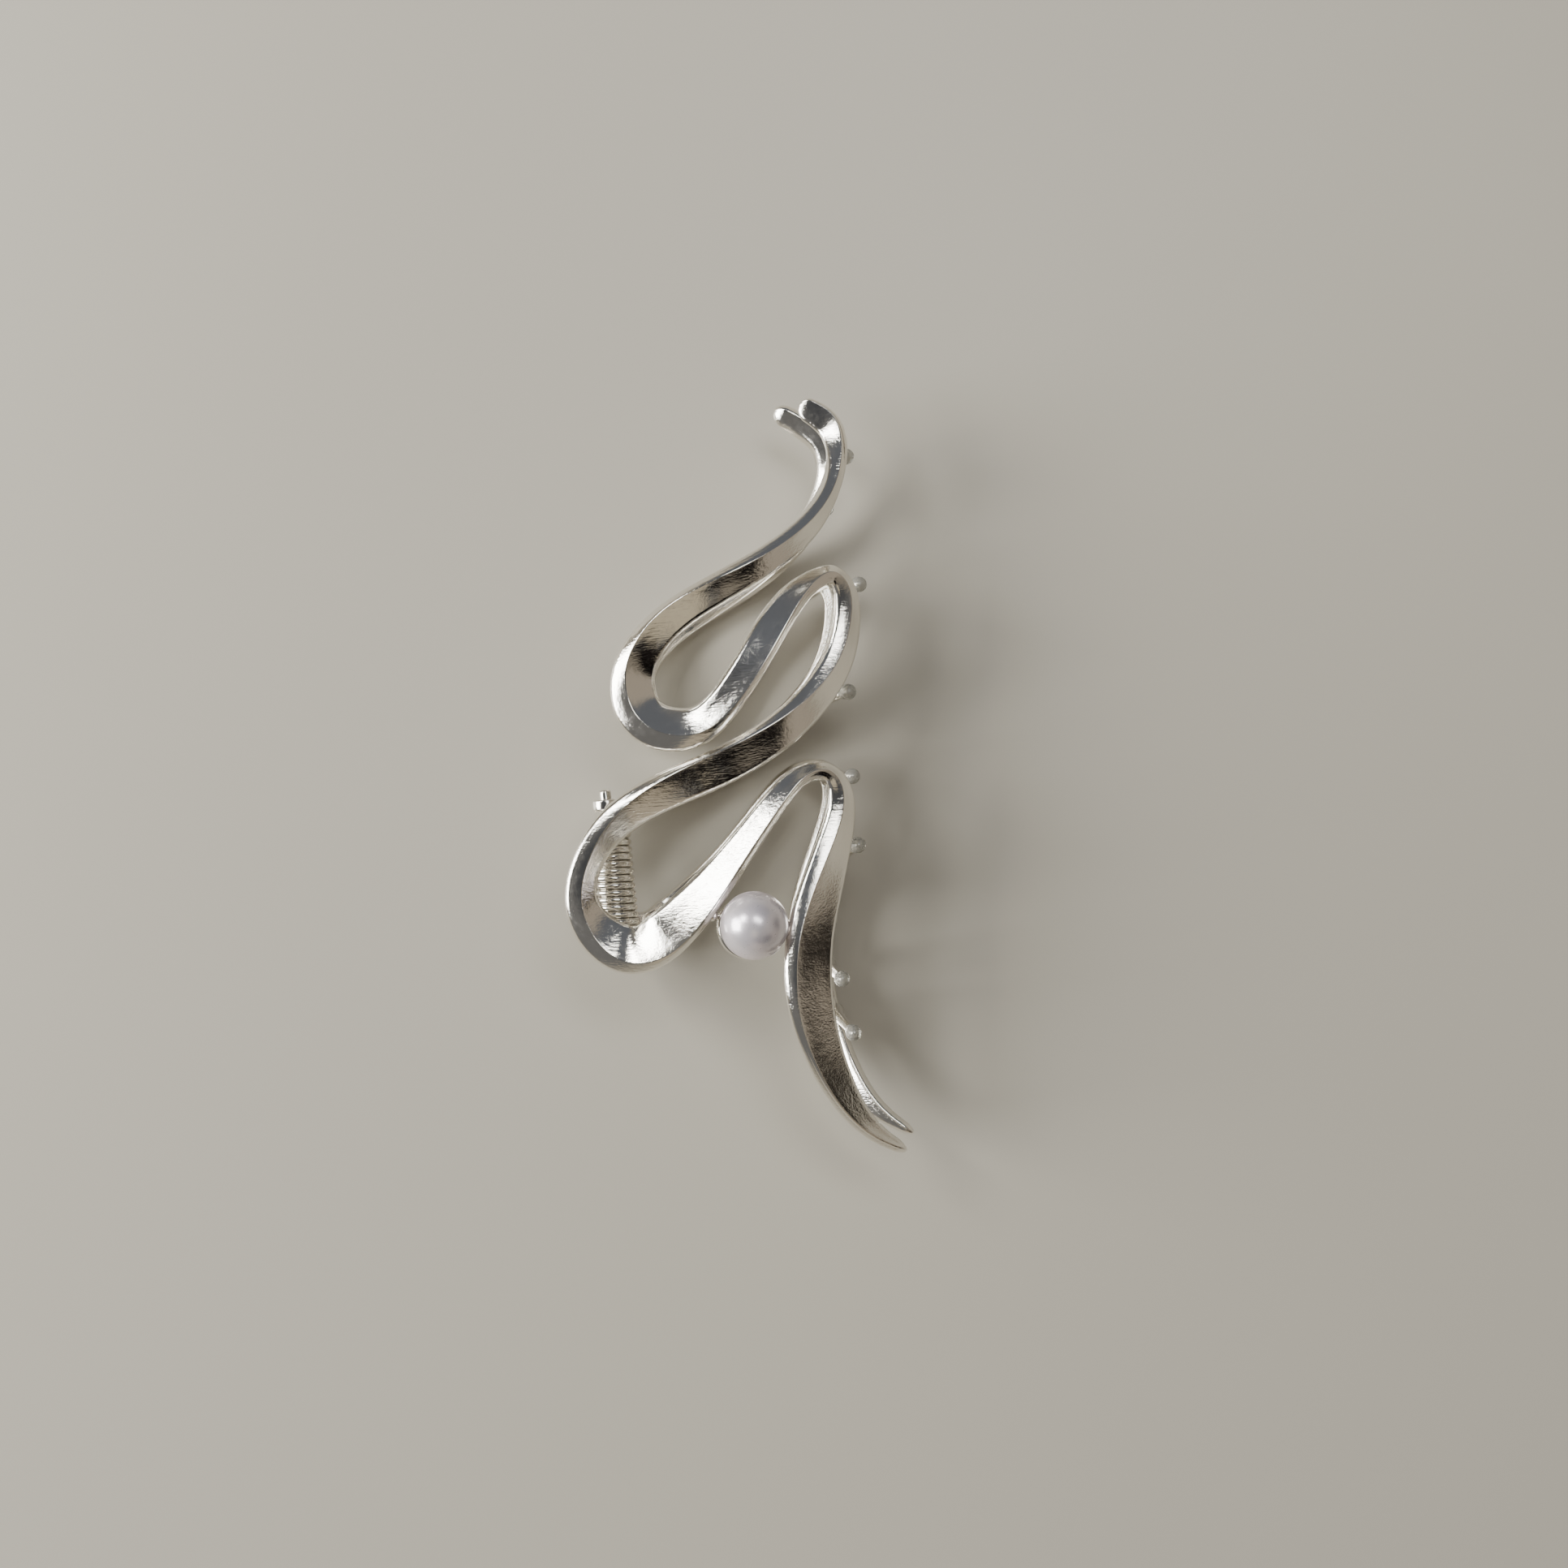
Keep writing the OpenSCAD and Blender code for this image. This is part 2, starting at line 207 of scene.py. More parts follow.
polishedPlate = silverPlate("polishedSilverPlate", 0.05, 0.17, 1.0)
castPlate = silverPlate("asCastSilverPlate", 0.07, 0.20, 1.3)
springWire = nickelWire("nickelPlatedSpringWire", 0.10, 0.20)
pinSteel = nickelWire("nickelPlatedPin", 0.08, 0.18)
pearlShell = pearlCoat()
silicone = clearSilicone()
print("materials made")


def toFrame(points):
    return hinge + np.asarray(points, float) * mm


def loft(rings, closedRing=True, startPole=None, endPole=None):
    # rings: n x m x 3, wound so that each ring turns anticlockwise seen from ahead
    rings = np.asarray(rings, float)
    n, m = rings.shape[:2]
    points = list(rings.reshape(-1, 3))
    faces = []
    last = m if closedRing else m - 1
    for i in range(n - 1):
        for j in range(last):
            k = (j + 1) % m
            faces.append((i * m + j, i * m + k, (i + 1) * m + k, (i + 1) * m + j))
    if startPole is not None:
        points.append(startPole)
        faces += [(len(points) - 1, (j + 1) % m, j) for j in range(m)]
    if endPole is not None:
        points.append(endPole)
        top = (n - 1) * m
        faces += [(len(points) - 1, top + j, top + (j + 1) % m) for j in range(m)]
    return np.array(points), faces


class Shell:
    # gathers lofts into one mesh, with a material number for each face
    def __init__(self):
        self.points, self.faces, self.kinds = [], [], []
        self.count = 0

    def add(self, made, kinds=0, flip=False):
        points, faces = made
        shifted = [tuple(v + self.count for v in (f[::-1] if flip else f)) for f in faces]
        self.points.append(points)
        self.faces += shifted
        self.kinds += list(kinds) if hasattr(kinds, "__len__") else [kinds] * len(faces)
        self.count += len(points)

    def build(self, name, body, materials, replaces):
        mesh = bpy.data.meshes.new(name)
        mesh.from_pydata(toFrame(np.vstack(self.points)).tolist(), [], self.faces)
        for material in materials:
            mesh.materials.append(material)
        mesh.polygons.foreach_set("material_index", self.kinds)
        mesh.polygons.foreach_set("use_smooth", [True] * len(self.faces))
        mesh.update()
        piece = bpy.data.objects.new(name, mesh)
        bpy.context.scene.collection.objects.link(piece)
        if body:
            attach(piece, body)
        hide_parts(*replaces)
        return piece


def unit(v):
    v = np.asarray(v, float)
    return v / np.linalg.norm(v, axis=-1, keepdims=True)


def axesAcross(direction):
    # two directions across one, so that (first, second, direction) is right-handed
    direction = unit(direction)
    helper = np.array([0.0, 1.0, 0.0]) if abs(direction[1]) < 0.8 else np.array([1.0, 0.0, 0.0])
    first = unit(np.cross(helper, direction))
    return first, np.cross(direction, first)


def revolve(profile, at, direction, sides):
    # profile: radius and height pairs from the low pole's ring to the high pole's
    first, second = axesAcross(direction)
    direction = unit(direction)
    turn = np.linspace(0, 2 * math.pi, sides, endpoint=False)
    circle = np.cos(turn)[:, None] * first + np.sin(turn)[:, None] * second
    rings = [np.asarray(at) + r * circle + h * direction for r, h in profile]
    low = np.asarray(at) + profile[0][1] * direction
    high = np.asarray(at) + profile[-1][1] * direction
    return loft(rings, True, low, high)


def tube(path, radii, sides):
    # round tube along a path of points, with domed ends; sections follow without twisting
    path = np.asarray(path, float)
    radii = np.broadcast_to(radii, len(path))
    ahead = unit(np.gradient(path, axis=0))
    first, _ = axesAcross(ahead[0])
    turn = np.linspace(0, 2 * math.pi, sides, endpoint=False)
    rings = []
    for at, radius, way in zip(path, radii, ahead):
        first = unit(first - way * np.dot(first, way))
        second = np.cross(way, first)
        rings.append(at + radius * (np.cos(turn)[:, None] * first + np.sin(turn)[:, None] * second))
    rings = np.array(rings)

    def dome(ring, centre, way, radius):
        return [centre + (ring - centre) * math.cos(a) + way * radius * math.sin(a)
                for a in (math.radians(35), math.radians(65))]
    front = dome(rings[0], path[0], -ahead[0], radii[0])[::-1]
    back = dome(rings[-1], path[-1], ahead[-1], radii[-1])
    rings = np.concatenate([front, rings, back])
    return loft(rings, True, path[0] - ahead[0] * radii[0], path[-1] + ahead[-1] * radii[-1])


band = {
    "depth": 2.9, "tipDepth": 1.8, "tipDeepening": 0.5,   # depth grows from the tips by each station
    "wideDrop": 0.2, "wideFall": 0.25,       # a facet's outer edge lies its drop below the ridge,
    "narrowDrop": 0.3, "narrowFall": 0.45,   # and lower by its fall for each mm of its width
    "lip": 0.5, "wideFlare": 0.4, "narrowFlare": 0.25,
    "backFlare": 0.6, "backInset": 0.5,
    "steps": 18,                 # rings between two stations
    "ridgeRound": 0.10, "edgeRound": 0.30, "wallRound": 0.6, "backRound": 0.5,
    "wideHollow": 0.03, "narrowCrown": 0.03,
    "cornerPoints": 6, "facePoints": 4,
    "cornerShare": 0.42,         # most of an edge that one rounded corner may take
    "tipLength": 0.34,           # share of a station over which each tip rounds off
}

# ridge x, y, z, roll in degrees, width of the wide facet and of the narrow one
stations = np.array([
    [29.5, 59.7, 2.8, 20, 0.4, 1.9],
    [33.1, 57.8, 3.1, 26, 0.5, 2.4],
    [34.1, 54.5, 3.7, 4, 0.5, 1.9],
    [33.4, 49.0, 5.0, 50, 1.4, 0.3],
    [30.0, 44.0, 7.0, 34, 2.5, 0.6],
    [24.0, 40.0, 10.2, 18, 2.5, 0.7],
    [17.5, 37.5, 11.7, 5, 2.7, 0.6],
    [10.5, 35.0, 10.9, -9, 3.0, 0.6],
    [6.0, 31.0, 9.8, -2, 3.3, 0.9],
    [4.0, 26.5, 9.1, 12, 3.6, 1.5],
    [5.0, 21.0, 9.2, 16, 3.6, 1.9],
    [9.5, 18.5, 10.2, 4, 3.2, 1.8],
    [14.5, 18.5, 10.9, 0, 3.0, 0.9],
    [19.5, 23.5, 10.9, -8, 2.9, 0.5],
    [23.5, 29.0, 10.4, -8, 3.2, 0.4],
    [27.0, 34.5, 8.8, 8, 2.9, 0.4],
    [29.5, 37.0, 7.6, 28, 1.9, 0.6],
    [31.5, 37.5, 6.6, 36, 1.3, 0.8],
    [33.0, 36.0, 5.9, 42, 1.5, 1.1],
    [33.5, 33.0, 5.4, 46, 2.2, 1.4],
    [32.0, 27.5, 6.0, 42, 3.2, 1.3],
    [28.5, 23.0, 7.8, 30, 3.3, 1.0],
    [22.5, 19.0, 10.2, 12, 3.6, 0.6],
    [14.5, 16.0, 11.1, 2, 3.9, 0.3],
    [7.0, 13.5, 10.0, 6, 3.7, 0.6],
    [1.0, 9.5, 8.7, 24, 3.3, 1.2],
    [-2.5, 4.5, 8.4, 26, 2.0, 1.3],
    [-4.0, -0.5, 8.6, 22, 2.0, 1.5],
    [-2.5, -5.5, 8.4, 8, 3.6, 1.7],
    [1.0, -9.0, 8.4, -4, 4.6, 1.5],
    [7.0, -8.5, 10.6, -4, 5.1, 0.5],
    [12.5, -3.0, 11.6, 6, 4.6, 0.3],
    [17.0, 3.0, 10.9, 6, 2.9, 0.5],
    [22.0, 9.0, 10.5, 1, 2.3, 0.3],
    [25.0, 12.5, 9.6, 12, 1.8, 0.3],
    [28.0, 13.5, 8.4, 36, 1.2, 0.5],
    [30.0, 11.5, 7.6, 42, 1.8, 0.9],
    [30.0, 7.5, 7.4, 42, 3.0, 1.3],
    [27.0, 2.0, 9.0, 28, 4.2, 1.3],
    [23.0, -5.5, 10.6, 22, 5.0, 1.1],
    [21.5, -13.0, 11.7, 22, 5.3, 1.0],
    [22.5, -21.5, 10.2, 22, 4.8, 0.5],
    [26.0, -29.5, 7.2, 22, 3.5, 0.2],
    [30.0, -33.5, 5.0, 22, 1.8, 0.3],
    [34.0, -35.5, 3.2, 22, 0.5, 0.3],
])

rear = {
    "lean": 0.03, "bow": 0.00016, "shorten": 0.98, "raise": 0.7,
    "head": [[26.2, 59.8, 3.0, 20, 0.4, 1.6], [30.6, 57.6, 3.2, 28, 0.4, 2.2]],
}


def rearStations():
    # the rear jaw leans and bows so that the tips pass side by side, and its head reaches further in
    leaned = stations.copy()
    along = stations[:, 1]
    leaned[:, 0] += -rear["lean"] * along + rear["bow"] * along ** 2
    leaned[:, 1] = rear["shorten"] * along + rear["raise"]
    leaned[:2] = rear["head"]
    return leaned


def splineRows(rows, at):
    # values and slopes of the cubic B-spline through the rows, at places counted in rows
    padded = np.vstack([2 * rows[0] - rows[1], rows, 2 * rows[-1] - rows[-2]])
    span = np.clip(np.floor(at).astype(int), 0, len(rows) - 2)
    t = (at - span)[:, None]
    a, b, c, d = (padded[span + k] for k in range(4))
    value = ((1 - t) ** 3 * a + (3 * t ** 3 - 6 * t ** 2 + 4) * b
             + (-3 * t ** 3 + 3 * t ** 2 + 3 * t + 1) * c + t ** 3 * d) / 6
    slope = (-(1 - t) ** 2 * a + (3 * t ** 2 - 4 * t) * b
             + (-3 * t ** 2 + 2 * t + 1) * c + t ** 2 * d) / 2
    return value, slope


def bandAxes(rows, at):
    value, slope = splineRows(rows, np.atleast_1d(np.asarray(at, float)))
    ahead = unit(slope[:, :3])
    level = unit(np.cross([0, 0, 1], ahead))
    roll = np.radians(value[:, 3])[:, None]
    left = np.cos(roll) * level - np.sin(roll) * np.cross(ahead, level)
    return value, ahead, left, np.cross(ahead, left)


def sectionCorners(wide, narrow, depth):
    # ridge, then the narrow side, the back and the wide side, as left and up from the ridge
    wideDrop = band["wideDrop"] + band["wideFall"] * wide
    narrowDrop = band["narrowDrop"] + band["narrowFall"] * narrow
    zero = np.zeros_like(wide)
    return np.stack([
        np.stack([zero, zero], 1),
        np.stack([-narrow, -narrowDrop], 1),
        np.stack([-narrow - band["narrowFlare"], -narrowDrop - band["lip"]], 1),
        np.stack([-narrow + band["backInset"], -depth], 1),
        np.stack([wide + band["backFlare"] * band["wideFlare"], -depth], 1),
        np.stack([wide + band["wideFlare"], -wideDrop - band["lip"]], 1),
        np.stack([wide, -wideDrop], 1)], 1)


def roundSection(corners, rounds, bulges):
    # rounded corners joined by faces with a slight crown (+) or hollow (-); n x m x 2
    count = corners.shape[1]
    starts, arcs, ends = [], [], []
    t = np.linspace(0, 1, band["cornerPoints"])[:, None, None]
    for j in range(count):
        before = corners[:, j - 1] - corners[:, j]
        after = corners[:, (j + 1) % count] - corners[:, j]
        lengths = np.minimum(np.linalg.norm(before, axis=1), np.linalg.norm(after, axis=1))
        cut = np.minimum(rounds[j], band["cornerShare"] * lengths)[:, None]
        start = corners[:, j] + unit(before) * cut
        end = corners[:, j] + unit(after) * cut
        arcs.append((1 - t) ** 2 * start + 2 * t * (1 - t) * corners[:, j] + t ** 2 * end)
        starts.append(start)
        ends.append(end)
    out, faceOf = [], []
    for j in range(count):
        out += list(arcs[j])
        faceOf += [j - 0.5] * (len(arcs[j]) - 1) + [j]
        k = (j + 1) % count
        run = starts[k] - ends[j]
        across = unit(np.stack([run[:, 1], -run[:, 0]], 1))
        for i in range(band["facePoints"]):
            s = (i + 1) / (band["facePoints"] + 1)
            out.append(ends[j] + s * run + across * bulges[j] * 4 * s * (1 - s))
            faceOf.append(j)
    return np.stack(out, 1), faceOf


def makeBand(shell, rows, flip):
    last = len(rows) - 1
    # finer rings near the two tips, where the section closes in like a ball
    close = band["tipLength"]
    closing = close * (1 - np.cos(np.linspace(0.1, math.pi / 2, 10)))
    tips = np.concatenate([closing, np.linspace(close, 1, 14)[1:]])
    between = np.linspace(1, last - 1, (last - 2) * band["steps"] + 1)
    at = np.concatenate([tips[:-1], between, (last - tips[::-1])[1:]])
    value, ahead, left, up = bandAxes(rows, at)
    fromTip = np.minimum(at, last - at)
    wide, narrow = value[:, 4], value[:, 5]
    depth = np.minimum(band["depth"], band["tipDepth"] + band["tipDeepening"] * fromTip)
    rounds = [band["ridgeRound"], band["edgeRound"], band["wallRound"], band["backRound"],
              band["backRound"], band["wallRound"], band["edgeRound"]]
    bulges = [band["narrowCrown"], 0.0, 0.0, 0.0, 0.0, 0.0, -band["wideHollow"]]
    section, faceOf = roundSection(sectionCorners(wide, narrow, depth), rounds, bulges)
    middle = np.stack([(wide - narrow) / 2, -depth / 2], 1)[:, None]
    scale = np.sqrt(1 - np.maximum(0, 1 - fromTip / close) ** 2)[:, None, None]
    section = middle + scale * (section - middle)
    rings = value[:, None, :3] + section[..., :1] * left[:, None] + section[..., 1:] * up[:, None]
    made = loft(rings, True, rings[0].mean(0), rings[-1].mean(0))
    # the back and its two rounded corners keep the cast skin, material 1
    ringKinds = [1 if 2.5 <= f <= 3.5 else 0 for f in faceOf]
    kinds = ringKinds * (len(rings) - 1) + [0] * (2 * len(ringKinds))
    if flip:
        made = (made[0] * [1, 1, -1], made[1])
    shell.add(made, kinds, flip)


teeth = {
    "front": [[3.4, [31.2, 45.8, 0.0]], [20.2, [30.8, 26.4, 0.0]], [21.6, [26.0, 19.8, -1.0]],
              [37.4, [28.8, 4.9, -0.6]], [38.8, [26.0, -5.0, -1.4]], [40.4, [25.2, -16.6, -1.4]]],
    "rear": [[2.6, [34.4, 52.1, -0.1]], [18.2, [34.5, 35.9, -0.7]], [21.0, [31.8, 22.4, 2.0]],
             [36.0, [31.3, 11.8, 0.6]], [37.9, [31.2, 3.1, 1.4]], [40.0, [27.6, -13.4, 2.0]],
             [40.9, [28.4, -20.3, 2.0]]],
    "rootInset": 0.7, "rootDepth": 1.8,
    "rootRadius": 0.85, "tipRadius": 0.5, "sunkShare": 0.5,
    "fillet": 0.4, "filletAt": 1.3, "filletLength": 0.7,   # swelling where the prong leaves the band
    "capRadius": 1.0,
}


def toothRoot(rows, station):
    value, _, left, up = bandAxes(rows, station)
    # middle of a tooth's root: inside the wide facet's edge and below it
    inward = value[0, 4] - teeth["rootInset"]
    return value[0, :3] + inward * left[0] - teeth["rootDepth"] * up[0]


def makeTooth(shell, root, tip):
    length = np.linalg.norm(tip - root)
    share = np.linspace(0, 1, 18)
    path = root + (tip - root) * share[:, None]
    swell = np.exp(-((share * length - teeth["filletAt"]) / teeth["filletLength"]) ** 2)
    radii = (teeth["rootRadius"] + (teeth["tipRadius"] - teeth["rootRadius"]) * share
             + teeth["fillet"] * swell)
    radii[0] = teeth["sunkShare"] * teeth["rootRadius"]   # small end, sunk in the band
    shell.add(tube(path, radii, 20))


def makeCap(name, body, root, tip):
    # a dipped ball with a short collar where it grips the tooth
    radius = teeth["capRadius"]
    profile = [[0.56, -radius - 0.25], [0.70, -radius - 0.28], [0.78, -radius - 0.18],
               [0.80, -radius + 0.05]]
    for deg in range(-30, 90, 8):
        profile.append([radius * math.cos(math.radians(deg)), radius * math.sin(math.radians(deg))])
    shell = Shell()
    shell.add(revolve(profile, tip, tip - root, 32))
    return shell.build(name.replace("_cap_", "_silicone_cap_"), body, [silicone], [name])


lug = {
    "radius": 1.8, "thickness": 1.4, "gap": 0.15, "pinRadius": 0.75, "clearance": 0.05,
    "top": [[3.8, 6.5], [0.2, 6.5]],   # where its two edges meet the band
    "round": 0.22, "boreBevel": 0.08,
}
spring = {
    "wire": 0.9, "radius": 2.35, "pitch": 0.93, "turns": 15, "leg": 4.4, "legAngle": 48,
    "middle": 1.2, "endGap": 0.25,
}
springHalf = (spring["turns"] * spring["pitch"] + spring["wire"]) / 2 + spring["endGap"]


def lugOutline(turn):
    # distance from the pin's axis to the outline of a lug, for each direction round it
    outline = np.array([[lug["radius"] * math.cos(a), lug["radius"] * math.sin(a)]
                        for a in np.radians(np.arange(205, 375, 5))] + lug["top"])
    reach = []
    for a in turn:
        ray = np.array([math.cos(a), math.sin(a)])
        best = 0.0
        for p, q in zip(outline, np.roll(outline, -1, axis=0)):
            edge = q - p
            det = ray[0] * -edge[1] + edge[0] * ray[1]
            if abs(det) > 1e-9:
                t = (p[0] * -edge[1] + edge[0] * p[1]) / det
                s = (ray[0] * p[1] - ray[1] * p[0]) / det
                if t > 0 and -1e-6 <= s <= 1 + 1e-6:
                    best = max(best, t)
        reach.append(best)
    return np.array(reach)


def makeLug(shell, y, bore, flip):
    turn = np.linspace(0, 2 * math.pi, 96, endpoint=False)
    reach = lugOutline(turn)
    half, soft, bevel = lug["thickness"] / 2, lug["round"], lug["boreBevel"]
    rings = []
    for a, far in zip(turn, reach):
        section = [[bore, -half + bevel], [bore + bevel, -half]]
        section += [[far - soft + soft * math.sin(b), -half + soft - soft * math.cos(b)]
                    for b in np.radians([0, 30, 60, 90])]
        section += [[far - soft + soft * math.cos(b), half - soft + soft * math.sin(b)]
                    for b in np.radians([0, 30, 60, 90])]
        section += [[bore + bevel, half], [bore, half - bevel]]
        rings.append([[r * math.cos(a), y + h, r * math.sin(a)] for r, h in section])
    rings.append(rings[0])
    rings = np.array(rings)
    if flip:
        rings = rings * [1, 1, -1]
    shell.add(loft(rings), 0, not flip)


def makeLugs(shell, outer, bore, flip):
    reach = springHalf + (outer + 0.5) * lug["thickness"] + outer * lug["gap"]
    for side in (-1, 1):
        makeLug(shell, spring["middle"] + side * reach, bore, flip)


bead = {
    "at": [17.4, -5.2, 10.6], "radius": 4.2, "gap": 0.05,
    "dishWall": 0.4, "dishRim": -2.6, "rimThin": 0.35, "rimSpan": 0.10,
    "crescentShift": [-0.9, -0.35, -0.3], "crescentRim": -1.4,
    "bars": [[[-5.0, 1.7, -1.3], [-3.9, 1.3, -3.1]], [[5.1, -0.8, -1.4], [3.9, -0.6, -3.1]]],
    "barRadius": 0.55, "barFlare": 0.25,   # thinnest at the middle, flared at both ends
}


def makeBowl(shell, shift, outer, rim):
    # thin bowl that fits the bead inside, with a soft rim; the wall is thickest towards its shift
    inner = bead["radius"] + bead["gap"]
    centre, shift = np.array(bead["at"]), np.array(shift)
    turn = np.linspace(0, 2 * math.pi, 96, endpoint=False)
    around = np.stack([np.cos(turn), np.sin(turn)], 1)
    rimAngle = math.asin(rim / inner)
    thin = bead["rimThin"]
    rings = []
    for angle in np.concatenate([np.linspace(-1.55, rimAngle, 22), np.linspace(rimAngle, -1.55, 22)[1:]]):
        way = np.column_stack([around * math.cos(angle), np.full(len(turn), math.sin(angle))])
        reach = way @ shift + np.sqrt((way @ shift) ** 2 - shift @ shift + outer ** 2)
        outside = len(rings) < 22
        taper = math.sqrt(min(1.0, (rimAngle - angle) / bead["rimSpan"])) if outside else 0.0
        wall = np.maximum(reach - inner, 0.01)
        far = inner + wall * (thin + (1 - thin) * taper) if outside else np.full(len(turn), inner)
        rings.append(centre + way * far[:, None])
    shell.add(loft(rings, True, rings[0].mean(0), rings[-1].mean(0)))


def makeCup(shell):
    inner = bead["radius"] + bead["gap"]
    makeBowl(shell, [0.0, 0.0, 0.0], inner + bead["dishWall"], bead["dishRim"])
    makeBowl(shell, bead["crescentShift"], inner, bead["crescentRim"])
    for start, end in bead["bars"]:
        share = np.linspace(0, 1, 10)
        path = np.array(bead["at"]) + np.array(start) + share[:, None] * (np.array(end) - np.array(start))
        shell.add(tube(path, bead["barRadius"] + bead["barFlare"] * (2 * share - 1) ** 2, 20))


frontRows, rearRows = stations, rearStations()

frontJaw = Shell()
makeBand(frontJaw, frontRows, False)
makeLugs(frontJaw, 0, lug["pinRadius"] + lug["clearance"], False)
for i, (station, tip) in enumerate(teeth["front"]):
    root = toothRoot(frontRows, station)
    makeTooth(frontJaw, root, np.array(tip))
    makeCap(f"front_cap_{i + 1}", "front_jaw", root, np.array(tip))
makeCup(frontJaw)
frontJaw.build("front_jaw_plated", "front_jaw", [polishedPlate, castPlate], ["front_jaw"])

rearJaw = Shell()
makeBand(rearJaw, rearRows, True)
makeLugs(rearJaw, 1, lug["pinRadius"], True)
for i, (station, tip) in enumerate(teeth["rear"]):
    root = toothRoot(rearRows, station) * [1, 1, -1]
    makeTooth(rearJaw, root, np.array(tip))
    makeCap(f"rear_cap_{i + 1}", "rear_jaw", root, np.array(tip))
rearJaw.build("rear_jaw_plated", "rear_jaw", [polishedPlate, castPlate], ["rear_jaw"])
print("jaws and caps made")


def makePin():
    half = springHalf + 2 * lug["thickness"] + lug["gap"]
    low, high = spring["middle"] - half - 0.2, spring["middle"] + half + 1.2
    r = lug["pinRadius"]
    # flat domed head, straight shank, softened far end
    profile = [[0.25, low - 0.42], [0.75, low - 0.38], [1.0, low - 0.22], [1.1, low - 0.02],
               [1.08, low], [r, low + 0.02], [r, low + 0.2], [r, high - 0.3],
               [r - 0.03, high - 0.15], [r - 0.14, high - 0.03], [r - 0.25, high]]
    shell = Shell()
    shell.add(revolve(profile, [0, 0, 0], [0, 1, 0], 40))
    shell.build("hinge_pin_plated", "rear_jaw", [pinSteel], ["hinge_pin"])


def makeSpring():
    # close coils, with a straight leg off each end that presses on its handle
    legAngle = math.radians(spring["legAngle"])
    total = 2 * math.pi * spring["turns"] + 2 * legAngle
    share = np.linspace(0, 1, 44 * spring["turns"])
    angle = legAngle - total * share
    height = spring["middle"] + spring["turns"] * spring["pitch"] * (0.5 - share)
    coil = np.stack([spring["radius"] * np.cos(angle), height, spring["radius"] * np.sin(angle)], 1)
    legDirection = np.array([-math.sin(legAngle), 0, math.cos(legAngle)])
    steps = np.linspace(1, 0, 12, endpoint=False)[:, None] * spring["leg"]
    upper = coil[0] + steps * legDirection
    lower = coil[-1] + steps[::-1] * legDirection * [1, 1, -1]
    path = np.concatenate([upper, coil, lower])
    shell = Shell()
    shell.add(tube(path, spring["wire"] / 2, 14))
    piece = shell.build("torsion_spring_wire", None, [springWire], ["torsion_spring"])
    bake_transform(piece)


def makePearl():
    # bead drilled from below, with a soft edge round the drilling
    radius = bead["radius"]
    profile = [[0.5, -radius + 0.9], [0.5, -radius + 0.15], [0.62, -radius + 0.04]]
    for deg in np.linspace(-80, 89, 60):
        profile.append([radius * math.cos(math.radians(deg)), radius * math.sin(math.radians(deg))])
    shell = Shell()
    shell.add(revolve(profile, bead["at"], [0, 0, 1], 96))
    shell.build("imitation_pearl", "front_jaw", [pearlShell], ["pearl"])


makePin()
makeSpring()
makePearl()
print("hinge and pearl made")


stage = {"floor": "#b3aea2", "floorRough": 0.42, "size": 3.0}


def makeFloor():
    # plain pale surface with a satin skin
    material, tree, output, place = newMaterial("paleSatinFloor")
    cloud = addNode(tree, "ShaderNodeTexNoise", {"Scale": perMetre(40), "Detail": 2.0}, {"Vector": place})
    rough = addNode(tree, "ShaderNodeMapRange",
                    {"To Min": stage["floorRough"] - 0.04, "To Max": stage["floorRough"] + 0.04},
                    {"Value": cloud.outputs["Fac"]})
    shader = addNode(tree, "ShaderNodeBsdfPrincipled", {"Base Color": srgb(stage["floor"])},
                     {"Roughness": rough.outputs["Result"]})
    tree.links.new(shader.outputs["BSDF"], output.inputs["Surface"])
    half = stage["size"] / 2
    mesh = bpy.data.meshes.new("floor")
    corners = [(-half, -half, 0), (half, -half, 0), (half, half, 0), (-half, half, 0)]
    mesh.from_pydata(corners, [], [(0, 1, 2, 3)])
    mesh.materials.append(material)
    floor = bpy.data.objects.new("floor", mesh)
    bpy.context.scene.collection.objects.link(floor)


# straight above the clip; halfWidth is the tangent of half the angle that it takes in
camera = {"place": [22.65, 11.64, 307.7], "turnDeg": -5.45, "halfWidth": 0.322}

room = {
    "low": "#a39c8d", "upper": "#6c6b6a", "zenith": "#47484b", "beam": 1.0,
    # azimuth from the clip's right and elevation, half-angles where full and where faded, colour
    "patches": [
        [0, 16, 30, 44, "#a2988a"],      # warm wall on the right
        [80, 42, 26, 46, "#62656b"],     # cool wall beyond the head
        [-84, 20, 12, 24, "#b3a793"],    # warm wall on the near side
        [-90, 66, 8, 16, "#c0b49c"],     # warm ceiling above it
        [-57, 38, 15, 20, "#0d0b0b"],    # dark side, where a person stands
        [-78, 43, 8, 13, "#1a1716"],     # one shoulder
        [-40, 26, 8, 13, "#151212"],     # and the other arm
        [-32, 51, 10, 15, "#857d71"],    # wall over the shoulder
        [6, 7, 9, 17, "#2e2a26"],        # dark furniture low on the right
    ],
}


def wayTo(azimuth, elevation):
    # unit vector for a direction in the room, turned with the camera
    a = math.radians(azimuth + camera["turnDeg"])
    e = math.radians(elevation)
    return [math.cos(a) * math.cos(e), math.sin(a) * math.cos(e), math.sin(e)]


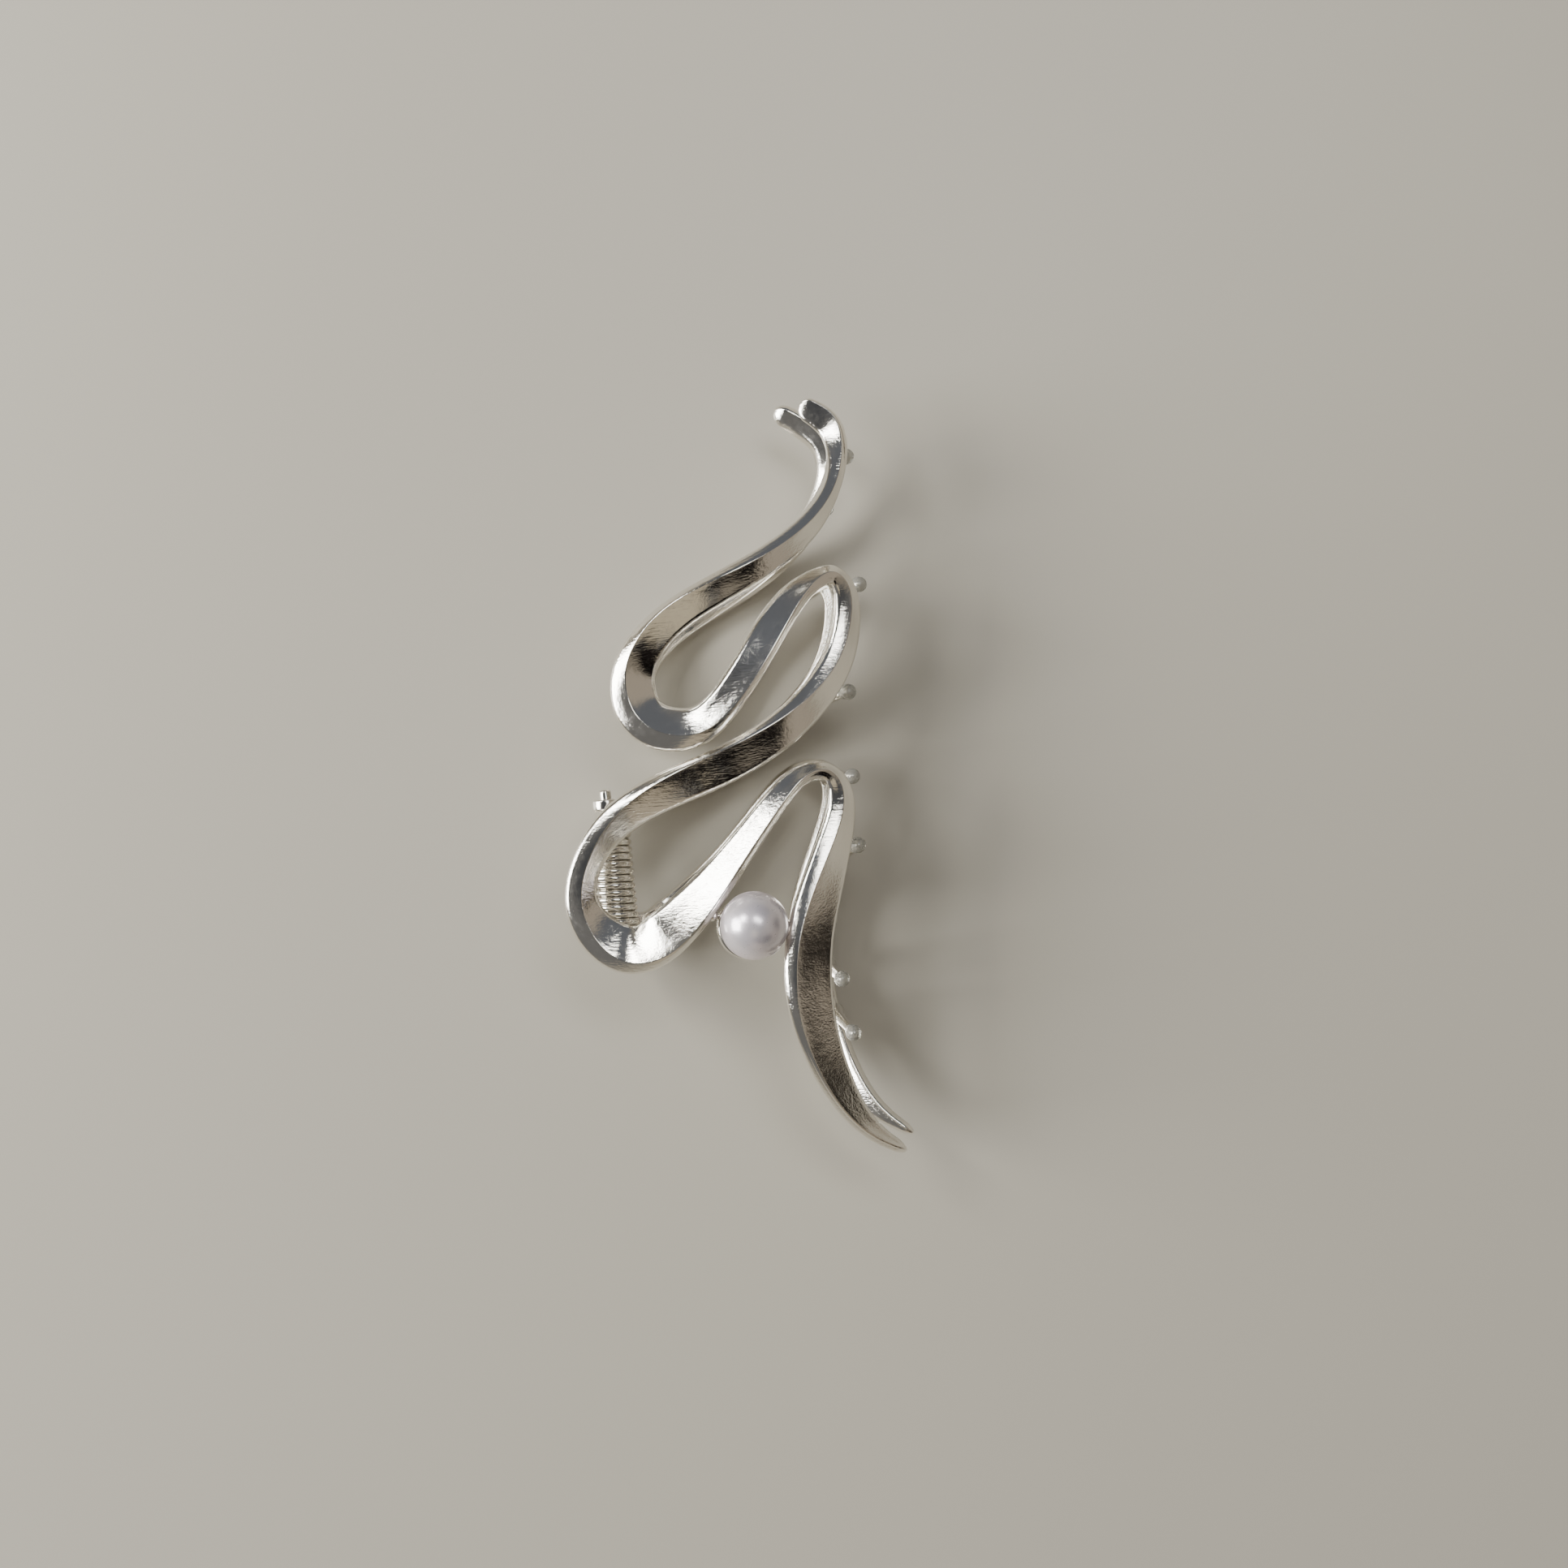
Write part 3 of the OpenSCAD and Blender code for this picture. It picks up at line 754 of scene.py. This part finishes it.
def makeRoom():
    # soft studio: pale low down, darker overhead, a warm wall, a cool wall and a dark side
    world = bpy.data.worlds.new("softStudio")
    bpy.context.scene.world = world
    world.use_nodes = True
    tree = world.node_tree
    tree.nodes.clear()
    way = addNode(tree, "ShaderNodeTexCoord").outputs["Generated"]
    height = addNode(tree, "ShaderNodeSeparateXYZ", {}, {"Vector": way}).outputs["Z"]
    low = addNode(tree, "ShaderNodeMapRange",
                  {"interpolation_type": "SMOOTHSTEP", "From Min": 0.10, "From Max": 0.35},
                  {"Value": height})
    high = addNode(tree, "ShaderNodeMapRange",
                   {"interpolation_type": "SMOOTHSTEP", "From Min": 0.80, "From Max": 0.97},
                   {"Value": height})
    colour = addNode(tree, "ShaderNodeMix",
                     {"data_type": "RGBA", 6: srgb(room["low"]), 7: srgb(room["upper"])},
                     {0: low.outputs["Result"]}).outputs[2]
    colour = addNode(tree, "ShaderNodeMix", {"data_type": "RGBA", 7: srgb(room["zenith"])},
                     {0: high.outputs["Result"], 6: colour}).outputs[2]
    for azimuth, elevation, full, faded, hexColour in room["patches"]:
        near = addNode(tree, "ShaderNodeVectorMath",
                       {"operation": "DOT_PRODUCT", 1: wayTo(azimuth, elevation)}, {0: way})
        share = addNode(tree, "ShaderNodeMapRange",
                        {"interpolation_type": "SMOOTHSTEP", "From Min": math.cos(math.radians(faded)),
                         "From Max": math.cos(math.radians(full))}, {"Value": near.outputs["Value"]})
        colour = addNode(tree, "ShaderNodeMix", {"data_type": "RGBA", 7: srgb(hexColour)},
                         {0: share.outputs["Result"], 6: colour}).outputs[2]
    background = addNode(tree, "ShaderNodeBackground", {"Strength": room["beam"]}, {"Color": colour})
    addNode(tree, "ShaderNodeOutputWorld", {}, {"Surface": background.outputs["Background"]})


windows = [
    # azimuth, elevation, width, height, distance in metres, radiance
    [178, 28, 0.50, 0.50, 0.9, 18],
    [146, 46, 0.25, 0.24, 0.9, 18],
    [62, 66, 0.40, 0.20, 0.9, 8],
]
windowColour = "#fbfaf6"


def makeWindows():
    # soft lights: one large and one small on the handle side, a weak one beyond the head
    for azimuth, elevation, width, height, distance, radiance in windows:
        data = bpy.data.lights.new("window", "AREA")
        data.shape = "RECTANGLE"
        data.size, data.size_y = width, height
        data.energy = radiance * math.pi * width * height
        data.color = srgb(windowColour)[:3]
        lamp = bpy.data.objects.new("window", data)
        direction = Vector(wayTo(azimuth, elevation))
        lamp.location = direction * distance
        lamp.rotation_euler = direction.to_track_quat("Z", "Y").to_euler()
        bpy.context.scene.collection.objects.link(lamp)


def makeCamera():
    data = bpy.data.cameras.new("camera")
    data.sensor_width = 36.0
    data.lens = data.sensor_width / 2 / camera["halfWidth"]
    eye = bpy.data.objects.new("camera", data)
    eye.location = Vector(toFrame(camera["place"]))
    eye.rotation_euler = (0, 0, math.radians(camera["turnDeg"]))
    bpy.context.scene.collection.objects.link(eye)
    bpy.context.scene.camera = eye


makeFloor()
makeRoom()
makeWindows()
makeCamera()
print("stage, light and camera made")
